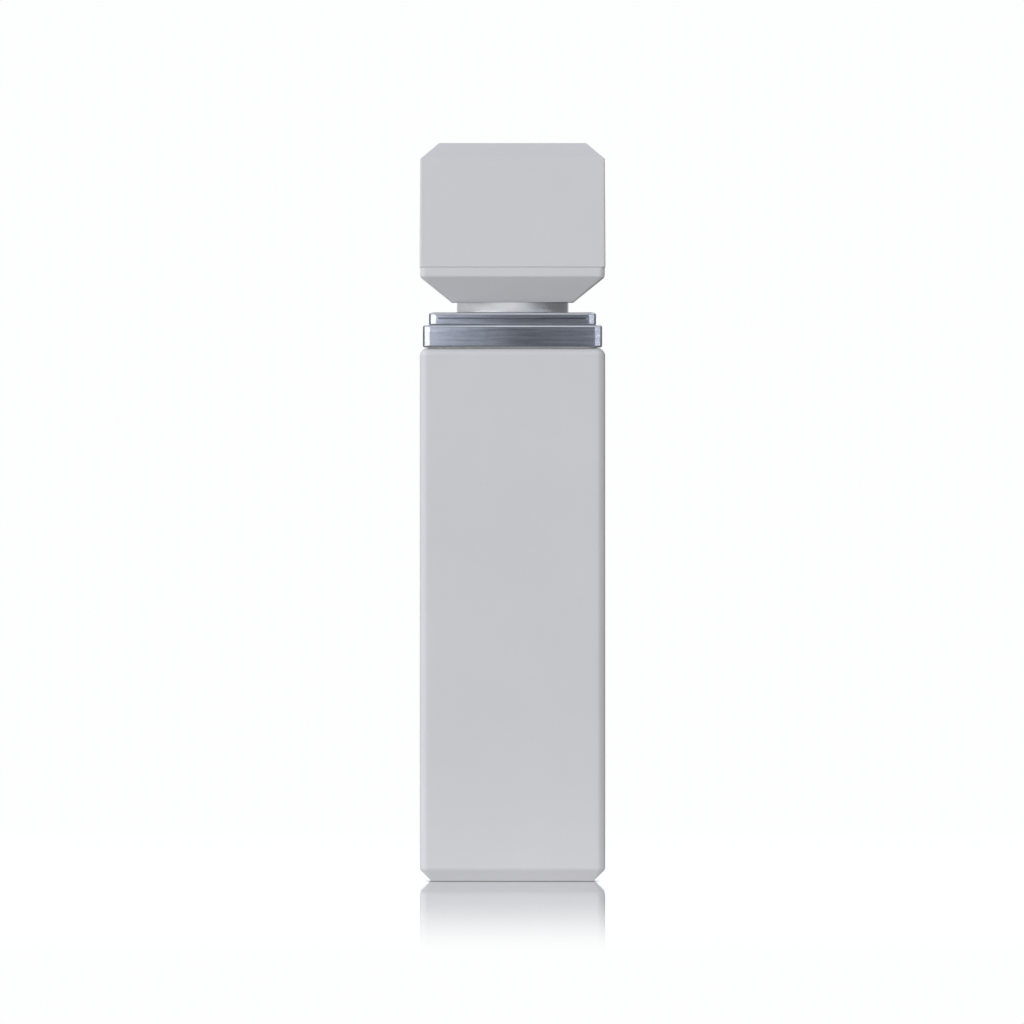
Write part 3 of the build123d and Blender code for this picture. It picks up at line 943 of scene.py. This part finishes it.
def surroundings():
    """Backdrop for the camera, brighter light from the left and behind, and its own for mirrors."""
    world = bpy.data.worlds.new("studio")
    bpy.context.scene.world = world
    world.use_nodes = True
    nodes = Nodes(world.node_tree)
    ray = nodes.add("ShaderNodeLightPath").outputs
    direction = nodes.add("ShaderNodeTexCoord").outputs["Generated"]
    tilt = nodes.add("ShaderNodeVectorMath", operation="DOT_PRODUCT")
    tilt.inputs[1].default_value = WORLD_TILT
    nodes.link(direction, tilt.inputs[0])
    level = nodes.math("ADD", tilt.outputs["Value"], WORLD_LEVEL)
    towards = nodes.axes(direction)
    above = nodes.ramp(towards["Z"], *MIRRORED_ABOVE)
    behind = nodes.ramp(towards["Y"], *MIRRORED_BEHIND)
    strength = nodes.choose(ray["Is Glossy Ray"], level, nodes.math("ADD", above, behind))
    light = nodes.tree.nodes["Background"]
    light.inputs["Color"].default_value = WORLD_COLOUR
    nodes.link(strength, light.inputs["Strength"])
    backdrop = nodes.add("ShaderNodeBackground")
    backdrop.inputs["Color"].default_value = BACKDROP
    given = nodes.mix_shaders(ray["Is Camera Ray"], light.outputs[0], backdrop.outputs[0])
    nodes.link(given, nodes.tree.nodes["World Output"].inputs["Surface"])


def studio(low, high, plates, satin):
    """Lights, reflectors and floor round the object's box."""
    middle = (low + high) / 2
    before, left = Vector((0.0, -1.0, -0.12)), Vector((-1.0, -0.35, 0.0))
    surroundings()
    floor()
    softbox("front_light", middle + before, middle, width=1.1, height=1.0, strength=3.35)
    softbox("left_light", middle + left, middle, width=0.8, height=1.0, strength=2.8)
    below_plates, above_plates, below_satin = 0.012, 0.010, 0.020
    plate_low = box_mm("lower_collar_plate")[0].z * MM
    plate_high = box_mm("upper_collar_plate")[1].z * MM
    plate_band = (plate_low - below_plates, plate_high + above_plates)
    satin_band = (plate_low - below_satin, high.z)
    rim_band = (high.z, 2 * high.z)
    for name, lit, band, strength, around in (
        ("plate_tent", plates, plate_band, PLATE_BAND, PLATE_AROUND),
        ("satin_tent", satin, satin_band, SATIN_BAND, SATIN_AROUND),
        ("rim_tent", plates, rim_band, RIM_BAND, None),
    ):
        tent(name, *band, glow(name, strength, around, see_through=True), lit)
    bpy.context.scene.view_settings.view_transform = "Standard"


def camera(low, high):
    """Level view of the front from far away, as with a long lens."""
    distance, frame_share, sideways = 6.0, 0.7190, -0.0005
    height = high.z - low.z
    data = bpy.data.cameras.new("camera")
    data.sensor_width = 36.0
    data.lens = data.sensor_width * distance * frame_share / height
    data.shift_x = sideways
    data.clip_start, data.clip_end = 0.05, 50.0
    eye = link("camera", data)
    eye.location = (0, -distance, low.z + height / 2)
    eye.rotation_euler = (math.pi / 2, 0, 0)
    bpy.context.scene.camera = eye


# ---- Putting it together ---------------------------------------------------------------

for node, piece in frame["nodes"].items():
    piece.data.materials.clear()
    piece.data.materials.append(MATERIALS[SLOT_OF[node]])

glass_bottle()
plates = [
    collar_plate("lower_collar_plate", "steel_lower_plate"),
    collar_plate("upper_collar_plate", "steel_upper_plate", groove=GROOVE),
]
satin = [neck_sleeve(), button_shell()]
nozzle()
pump_spring()
cap_shell()
cap_base()
cap_liner()

low, high = (Vector(corner) for corner in cad_box)
studio(low, high, plates, satin)
camera(low, high)
